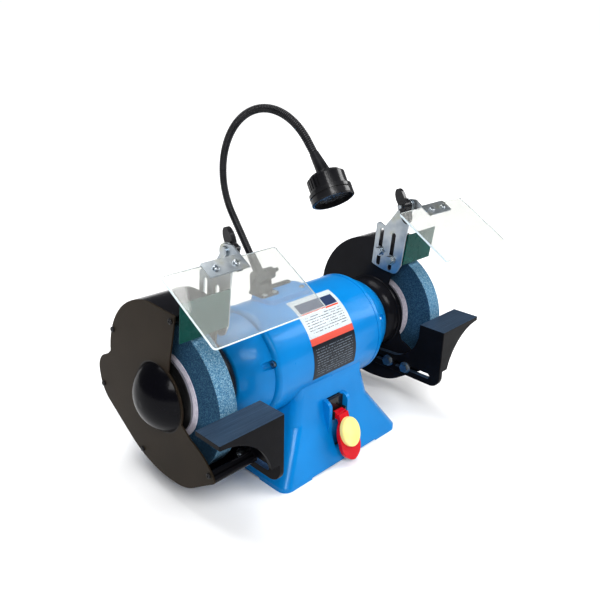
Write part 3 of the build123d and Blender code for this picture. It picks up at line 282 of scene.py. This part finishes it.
def clear_sheet():
    """Clear moulded sheet: nearly invisible faces, and edges painted pale blue-white and less clear as a
    painted highlight.
    """
    finish = Finish("clear_sheet", IOR=1.4, Specular_IOR_Level=0.2)
    lie = finish.node("VectorMath", operation="DOT_PRODUCT")
    finish.link(finish.tree.nodes["Texture Coordinate"].outputs["Normal"], lie.inputs[0])
    lie.inputs[1].default_value = (0.0, -math.sin(SHIELD_SLOPE), math.cos(SHIELD_SLOPE))
    # faces across the sheet are its edges; their pale, less clear colour is a painted highlight
    edge = finish.math("LESS_THAN", finish.math("ABSOLUTE", lie.outputs["Value"]), 0.9)
    haze = finish.noise(55.0, 5.0, 0.6)
    clear = finish.ramp(haze, (0.3, (0.78, 0.79, 0.77)), (0.8, (0.83, 0.84, 0.81)))
    finish.colour(finish.mix(edge, clear, (0.78, 0.88, 0.92)))
    clearness = finish.math("SUBTRACT", 0.86, finish.math("MULTIPLY", edge, 0.66))
    finish.link(clearness, finish.shader.inputs["Transmission Weight"])
    finish.roughness(finish.noise(240.0, 4.0), 0.02, 0.06)
    finish.bump(finish.noise(16.0, 2.0), 0.0003, 0.1)
    return finish.material


def lamp_glass():
    """Pressed lens with small facets."""
    finish = Finish("lamp_glass", Roughness=0.14, Transmission_Weight=0.35, IOR=1.5)
    glass = finish.ramp(finish.noise(80.0, 3.0), (0.3, (0.03, 0.034, 0.04)), (0.7, (0.07, 0.075, 0.085)))
    finish.colour(glass)
    finish.bump(finish.cells(260.0, "Distance"), 0.0006, 0.8)
    return finish.material


def turned_steel(name="turned_steel", colour=(0.42, 0.43, 0.45)):
    """Steel with lathe marks round the spindle."""
    finish = Finish(name, Metallic=1.0)
    lay = finish.noise(1.0, 3.0, 0.6, finish.stretched((2600.0, 60.0, 60.0)))
    dark = tuple(value * 0.75 for value in colour)
    finish.colour(finish.ramp(lay, (0.3, dark), (0.7, colour)))
    finish.roughness(lay, 0.25, 0.42)
    finish.bump(lay, 0.00004, 0.5)
    return finish.material


def winding_wire():
    """Varnished copper wire laid round the spindle."""
    finish = Finish("winding_wire", Metallic=0.8, Coat_Weight=0.5, Coat_Roughness=0.2)
    strands = finish.node("TexWave", wave_type="BANDS", bands_direction="X")
    strands.inputs["Scale"].default_value = 160.0
    strands.inputs["Distortion"].default_value = 2.0
    finish.link(finish.place, strands.inputs["Vector"])
    finish.colour(finish.ramp(strands.outputs["Fac"], (0.1, (0.28, 0.09, 0.03)), (0.8, (0.72, 0.33, 0.14))))
    finish.roughness(strands.outputs["Fac"], 0.3, 0.5)
    finish.bump(strands.outputs["Fac"], 0.0004, 0.8)
    return finish.material


LABEL_MIDDLE_X = 0.0007
LABEL_HALF = 0.043


def label_film():
    """Printed film: a pale top, an orange-red bar and a dark lower panel with plain ruled lines."""
    finish = Finish("label_film", Coat_Weight=0.15, Coat_Roughness=0.15, Specular_IOR_Level=0.25)
    z = finish.math("SUBTRACT", finish.axis("Z"), SHAFT_Z)
    around = finish.math("ARCTAN2", z, finish.math("MULTIPLY", finish.axis("Y"), -1.0))
    degrees = finish.math("MULTIPLY", around, 180.0 / math.pi)
    across = finish.math("SUBTRACT", finish.axis("X"), LABEL_MIDDLE_X)
    inside = finish.math("LESS_THAN", finish.math("ABSOLUTE", across), LABEL_HALF - 0.006)

    def band(low, high):
        above = finish.math("GREATER_THAN", degrees, low)
        return finish.math("MULTIPLY", above, finish.math("LESS_THAN", degrees, high))

    paper = finish.ramp(finish.noise(400.0, 2.0), (0.3, (0.50, 0.55, 0.58)), (0.7, (0.60, 0.65, 0.68)))
    ink = finish.ramp(finish.noise(300.0, 2.0), (0.3, (0.006, 0.009, 0.015)), (0.7, (0.010, 0.014, 0.022)))
    # ruled lines: plain strokes of uneven length, so that they read as print and say nothing
    row = finish.math("MULTIPLY", degrees, 0.36)
    stroke = finish.math("LESS_THAN", finish.math("FRACT", row), 0.3)
    ragged = finish.node("TexNoise")
    ragged.inputs["Scale"].default_value = 1.0
    rows = finish.node("CombineXYZ")
    finish.link(finish.math("MULTIPLY", finish.axis("X"), 420.0), rows.inputs[0])
    finish.link(finish.math("MULTIPLY", finish.math("FLOOR", row), 7.3), rows.inputs[1])
    finish.link(rows.outputs[0], ragged.inputs["Vector"])
    words = finish.math("MULTIPLY", stroke, finish.math("GREATER_THAN", ragged.outputs["Fac"], 0.46))
    words = finish.math("MULTIPLY", words, inside)

    colour = paper
    colour = finish.mix(finish.math("MULTIPLY", words, band(33.0, 52.0)), colour, (0.10, 0.11, 0.13))
    colour = finish.mix(finish.math("MULTIPLY", band(56.0, 68.0), inside), colour, (0.03, 0.05, 0.12))
    colour = finish.mix(finish.math("MULTIPLY", band(53.5, 55.2), inside), colour, (0.72, 0.07, 0.02))
    colour = finish.mix(band(22.0, 29.0), colour, (0.62, 0.10, 0.07))
    colour = finish.mix(band(-20.0, 22.0), colour, ink)
    colour = finish.mix(finish.math("MULTIPLY", words, band(-13.0, 19.0)), colour, (0.13, 0.16, 0.20))
    finish.colour(colour)
    finish.roughness(finish.noise(200.0, 3.0), 0.28, 0.4)
    finish.bump(finish.noise(500.0, 2.0), 0.00003, 0.4)
    return finish.material


def make_materials():
    black = (0.006, 0.006, 0.008)
    return {
        "blue_paint": blue_enamel(),
        "black_paint": powder_coat("guard_black", black, (0.012, 0.012, 0.015), 0.15, 0.24, 500.0, 0.00006),
        "cover_paint": cover_coat_with_painted_reflection(),
        "black_steel": moulded("black_steel", black, (0.020, 0.020, 0.022), (0.3, 0.42)),
        "zinc": zinc_plate(),
        "rest_iron": rest_iron(),
        "deflector_paint": powder_coat(
            "deflector_green", (0.001, 0.055, 0.045), (0.002, 0.080, 0.070), 0.22, 0.34, 450.0, 0.0001
        ),
        "steel": turned_steel(),
        "copper": winding_wire(),
        "abrasive": bonded_grit(),
        "blotter_card": blotter_card(),
        "bush_plastic": moulded("bush_plastic", (0.70, 0.70, 0.67), (0.80, 0.80, 0.77), (0.4, 0.55)),
        "shield_clear": clear_sheet(),
        "black_plastic": moulded("black_plastic", black, (0.018, 0.018, 0.020), (0.16, 0.28), 0.25),
        "neck_black": moulded("neck_black", black, (0.022, 0.022, 0.025), (0.26, 0.42), 0.1, 900.0, 0.00006),
        "capacitor_can": turned_steel("capacitor_can", (0.60, 0.61, 0.62)),
        "red_plastic": moulded("red_plastic", (0.50, 0.003, 0.012), (0.60, 0.005, 0.018), (0.18, 0.3), 0.15),
        "key_yellow": moulded("key_yellow", (0.84, 0.68, 0.24), (0.92, 0.78, 0.34), (0.25, 0.38), 0.12),
        "lens": lamp_glass(),
        "label_film": label_film(),
    }


MATERIALS = make_materials()
SLOT_OF = {part["node"]: part["material_slot"] for part in frame["record"]["subparts"]}
for node_name, node_object in NODES.items():
    node_object.data.materials.clear()
    node_object.data.materials.append(MATERIALS[SLOT_OF[node_name]])


# ---------------------------------------------------------------- carried-over shapes with rounded edges
BODY_OF = {node: body for body, nodes in frame["record"]["behaviour"]["bodies"].items() for node in nodes}
WELD = 0.00002


def softened(node, width, segments=3, angle=32.0):
    """A welded copy of a CAD piece with its sharp edges rounded, shown in place of it."""
    mesh = NODES[node].data.copy()
    mesh.name = node + "_rounded"
    weld = bmesh.new()
    weld.from_mesh(mesh)
    bmesh.ops.remove_doubles(weld, verts=weld.verts, dist=WELD)
    bmesh.ops.dissolve_limit(
        weld, angle_limit=math.radians(0.6), verts=weld.verts, edges=weld.edges, delimit={"NORMAL"}
    )
    weld.to_mesh(mesh)
    weld.free()
    piece = bpy.data.objects.new(node + "_rounded", mesh)
    bpy.context.scene.collection.objects.link(piece)
    mesh.polygons.foreach_set("use_smooth", [True] * len(mesh.polygons))
    rounding = piece.modifiers.new("edge_rounding", "BEVEL")
    rounding.width = width
    rounding.segments = segments
    rounding.limit_method = "ANGLE"
    rounding.angle_limit = math.radians(angle)
    rounding.harden_normals = False
    rounding.use_clamp_overlap = True
    shading = piece.modifiers.new("face_normals", "WEIGHTED_NORMAL")
    shading.keep_sharp = True
    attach(piece, BODY_OF[node])
    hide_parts(node)
    return piece


SOFTENED = {
    "base_casting": 0.0016,
    "switch_paddle": 0.0011,
    "lamp_foot": 0.0006,
    "lamp_bezel": 0.0009,
    "lamp_head": 0.0005,
    "lamp_clamp_knob": 0.0006,
    "safety_key": 0.0009,
    "switch_body": 0.0012,
}
SOFTENED_PAIRS = {
    "guard_body": 0.0009,
    "end_bell": 0.0008,
    "deflector_plate": 0.0004,
    "tool_rest": 0.0008,
    "guard_cover": 0.0007,
    "deflector_bracket": 0.0004,
    "shield_bracket": 0.0004,
    "eye_shield": 0.0006,
    "wing_knob": 0.0012,
}
for node_name, edge in SOFTENED.items():
    softened(node_name, edge)
for side in SIDES:
    for node_name, edge in SOFTENED_PAIRS.items():
        softened(f"{side}_{node_name}", edge)


# ---------------------------------------------------------------- gooseneck sleeve
NECK_FOOT, NECK_CORNER = (0.022, 0.260), (0.0799, 0.3383)
BOW_CENTRE, BOW_RADIUS, BOW_LAST = Vector((0.006, 0.393)), 0.092, 140.0
NECK_END_RUN = 0.041
NECK_RADIUS = 0.00527
CORE_RADIUS = 0.0043
TUBE_WALL = (0.0050, 0.00545)  # the CAD tube's vertices lie between these distances from its line
BEAD = 0.00118
SLEEVE_PITCH = 0.0027
LOWER_BOOT, UPPER_BOOT = 0.036, 0.027


def neck_points():
    """The gooseneck's centre line in y and z: straight foot, bow, straight end."""
    line = [Vector(NECK_FOOT), Vector(NECK_CORNER)]
    for step in range(81):
        turn = math.radians(-36.3 + (BOW_LAST + 36.3) * step / 80)
        line.append(BOW_CENTRE + Vector((math.cos(turn), math.sin(turn))) * BOW_RADIUS)
    turn = math.radians(BOW_LAST + 90.0)
    line.append(line[-1] + Vector((math.cos(turn), math.sin(turn))) * NECK_END_RUN)
    return line


def slimmed(node, line):
    """A copy of a CAD gooseneck run with its tube drawn in, so that the sleeve's outside keeps the size."""
    mesh = NODES[node].data.copy()
    mesh.name = node + "_core"
    for vertex in mesh.vertices:
        flat = Vector((vertex.co.y, vertex.co.z))
        best, near = 1.0, flat
        for a, b in zip(line, line[1:]):
            run = b - a
            spot = a + run * min(max((flat - a).dot(run) / max(run.length_squared, 1e-12), 0.0), 1.0)
            if (flat - spot).length < best:
                best, near = (flat - spot).length, spot
        axis = Vector((LAMP_X, near.x, near.y))
        reach = (vertex.co - axis).length
        if TUBE_WALL[0] < reach < TUBE_WALL[1]:
            vertex.co = axis + (vertex.co - axis) * (CORE_RADIUS / reach)
    piece = bpy.data.objects.new(node + "_core", mesh)
    bpy.context.scene.collection.objects.link(piece)
    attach(piece, BODY_OF[node])
    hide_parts(node)


def sleeve_tree():
    """Node tree that strings beads of the sleeve's spiral along a line."""
    tree = bpy.data.node_groups.new("sleeve_rings", "GeometryNodeTree")
    face = tree.interface
    face.new_socket("Geometry", in_out="OUTPUT", socket_type="NodeSocketGeometry")
    face.new_socket("Geometry", in_out="INPUT", socket_type="NodeSocketGeometry")
    for name in ("Pitch", "Radius", "Bead"):
        face.new_socket(name, in_out="INPUT", socket_type="NodeSocketFloat")
    face.new_socket("Finish", in_out="INPUT", socket_type="NodeSocketMaterial")

    def node(kind, **settings):
        made = tree.nodes.new(kind)
        for key, value in settings.items():
            setattr(made, key, value)
        return made

    group_in, group_out = node("NodeGroupInput"), node("NodeGroupOutput")
    line = node("GeometryNodeMeshToCurve")
    points = node("GeometryNodeCurveToPoints", mode="LENGTH")
    circle = node("GeometryNodeCurvePrimitiveCircle")
    circle.inputs["Resolution"].default_value = 28
    bead = node("GeometryNodeCurvePrimitiveCircle")
    bead.inputs["Resolution"].default_value = 7
    ring = node("GeometryNodeCurveToMesh")
    scatter = node("GeometryNodeInstanceOnPoints")
    realize = node("GeometryNodeRealizeInstances")
    smooth = node("GeometryNodeSetShadeSmooth")
    paint = node("GeometryNodeSetMaterial")
    links = (
        (group_in.outputs["Geometry"], line.inputs["Mesh"]),
        (line.outputs["Curve"], points.inputs["Curve"]),
        (group_in.outputs["Pitch"], points.inputs["Length"]),
        (group_in.outputs["Radius"], circle.inputs["Radius"]),
        (group_in.outputs["Bead"], bead.inputs["Radius"]),
        (circle.outputs["Curve"], ring.inputs["Curve"]),
        (bead.outputs["Curve"], ring.inputs["Profile Curve"]),
        (points.outputs["Points"], scatter.inputs["Points"]),
        (points.outputs["Rotation"], scatter.inputs["Rotation"]),
        (ring.outputs["Mesh"], scatter.inputs["Instance"]),
        (scatter.outputs["Instances"], realize.inputs["Geometry"]),
        (realize.outputs["Geometry"], smooth.inputs["Geometry"]),
        (smooth.outputs["Geometry"], paint.inputs["Geometry"]),
        (group_in.outputs["Finish"], paint.inputs["Material"]),
        (paint.outputs["Geometry"], group_out.inputs["Geometry"]),
    )
    for source, target in links:
        tree.links.new(source, target)
    return tree


def grown(name, source_mesh, tree, **values):
    """The tree's result on a mesh, as a plain mesh piece."""
    seed = bpy.data.objects.new(name + "_seed", source_mesh)
    bpy.context.scene.collection.objects.link(seed)
    modifier = seed.modifiers.new(name, "NODES")
    modifier.node_group = tree
    for item in tree.interface.items_tree:
        if item.in_out == "INPUT" and item.name in values:
            modifier[item.identifier] = values[item.name]
    graph = bpy.context.evaluated_depsgraph_get()
    mesh = bpy.data.meshes.new_from_object(seed.evaluated_get(graph))
    bpy.data.objects.remove(seed)
    piece = bpy.data.objects.new(name, mesh)
    bpy.context.scene.collection.objects.link(piece)
    return piece


def line_mesh(name, points):
    mesh = bpy.data.meshes.new(name)
    vertices = [(LAMP_X, point.x, point.y) for point in points]
    mesh.from_pydata(vertices, [(i, i + 1) for i in range(len(vertices) - 1)], [])
    return mesh


def trimmed(points, start, end):
    """The line with a length cut off each end."""
    total = sum((b - a).length for a, b in zip(points, points[1:]))
    kept, travelled = [], 0.0
    for a, b in zip(points, points[1:]):
        step = (b - a).length
        for mark in (start, total - end):
            if travelled <= mark < travelled + step:
                kept.append(a.lerp(b, (mark - travelled) / step))
        if start < travelled + step < total - end:
            kept.append(b)
        travelled += step
    return kept


NECK = neck_points()
for node_name in ("lamp_neck_lower", "lamp_neck_upper"):
    slimmed(node_name, NECK)
SLEEVE = grown(
    "sleeve",
    line_mesh("sleeve_line", trimmed(NECK, LOWER_BOOT, UPPER_BOOT)),
    sleeve_tree(),
    Pitch=SLEEVE_PITCH,
    Radius=NECK_RADIUS - BEAD,
    Bead=BEAD,
    Finish=MATERIALS["neck_black"],
)
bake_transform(SLEEVE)


# ---------------------------------------------------------------- floor, lights and camera
def area_light(name, place, target, size, power):
    light = bpy.data.lights.new(name, "AREA")
    light.shape = "RECTANGLE"
    light.size, light.size_y = size
    light.energy = power
    lamp = bpy.data.objects.new(name, light)
    lamp.location = place
    lamp.rotation_euler = (Vector(target) - Vector(place)).to_track_quat("-Z", "Y").to_euler()
    bpy.context.scene.collection.objects.link(lamp)


FLOOR_HALF = 20.0


def floor():
    """Plain pale paper under the object."""
    mesh = bpy.data.meshes.new("studio_floor")
    corners = [(x * FLOOR_HALF, y * FLOOR_HALF, 0.0) for x, y in ((-1, -1), (1, -1), (1, 1), (-1, 1))]
    mesh.from_pydata(corners, [], [(0, 1, 2, 3)])
    plane = bpy.data.objects.new("studio_floor", mesh)
    finish = Finish("floor_paper", Roughness=0.9, Specular_IOR_Level=0.1)
    finish.colour(finish.ramp(finish.noise(3.0), (0.3, (0.93, 0.93, 0.93)), (0.7, (0.95, 0.95, 0.95))))
    # the paper is lit up away from the object, so that it runs out to plain white
    reach = finish.node("VectorMath", operation="LENGTH")
    finish.link(finish.place, reach.inputs[0])
    glow = finish.node("MapRange", interpolation_type="SMOOTHSTEP")
    finish.link(reach.outputs["Value"], glow.inputs["Value"])
    glow.inputs["From Min"].default_value, glow.inputs["From Max"].default_value = 0.5, 3.0
    glow.inputs["To Max"].default_value = 0.95
    finish.shader.inputs["Emission Color"].default_value = (1.0, 1.0, 1.0, 1.0)
    finish.link(glow.outputs["Result"], finish.shader.inputs["Emission Strength"])
    mesh.materials.append(finish.material)
    bpy.context.scene.collection.objects.link(plane)


CAMERA_ANGLES = (-45.51, 21.57, 1.14)  # azimuth, elevation and roll in degrees
CAMERA_PLACE = (-0.61342, -0.60891, 0.55945)
CAMERA_LENS = 38.77


def three_quarter_camera():
    """The main view, a little above the left front."""
    azimuth, elevation, roll = (math.radians(value) for value in CAMERA_ANGLES)
    flat = math.cos(elevation)
    backward = Vector((math.sin(azimuth) * flat, -math.cos(azimuth) * flat, math.sin(elevation)))
    level = Vector((math.cos(azimuth), math.sin(azimuth), 0.0))
    upright = backward.cross(level)
    right = level * math.cos(roll) + upright * math.sin(roll)
    up = upright * math.cos(roll) - level * math.sin(roll)
    data = bpy.data.cameras.new("camera")
    data.lens = CAMERA_LENS
    data.sensor_width = 36.0
    data.clip_end = 30.0
    camera = bpy.data.objects.new("camera", data)
    turn = Matrix((right, up, backward)).transposed().to_4x4()
    camera.matrix_world = Matrix.Translation(CAMERA_PLACE) @ turn
    bpy.context.scene.collection.objects.link(camera)
    bpy.context.scene.camera = camera


def studio_world():
    """Dim surroundings for the object, plain white behind it."""
    world = bpy.data.worlds.new("studio")
    world.use_nodes = True
    tree = world.node_tree
    sky = tree.nodes["Background"]
    sky.inputs["Color"].default_value = (0.97, 0.98, 1.0, 1.0)
    seen = tree.nodes.new("ShaderNodeLightPath")
    strength = tree.nodes.new("ShaderNodeMapRange")
    strength.inputs["To Min"].default_value = 0.16
    strength.inputs["To Max"].default_value = 1.05
    tree.links.new(seen.outputs["Is Camera Ray"], strength.inputs["Value"])
    tree.links.new(strength.outputs["Result"], sky.inputs["Strength"])
    bpy.context.scene.world = world


studio_world()
floor()
area_light("key_softbox", (-1.2, -1.6, 1.9), (0.0, 0.0, 0.15), (1.4, 1.0), 60.0)
area_light("side_softbox", (1.8, -1.0, 1.3), (0.0, 0.0, 0.15), (1.0, 1.2), 30.0)
area_light("top_softbox", (0.0, 0.5, 2.2), (0.0, 0.0, 0.1), (2.0, 1.2), 46.0)
bpy.context.scene.view_settings.view_transform = "Standard"
bpy.context.scene.view_settings.gamma = 0.86
three_quarter_camera()
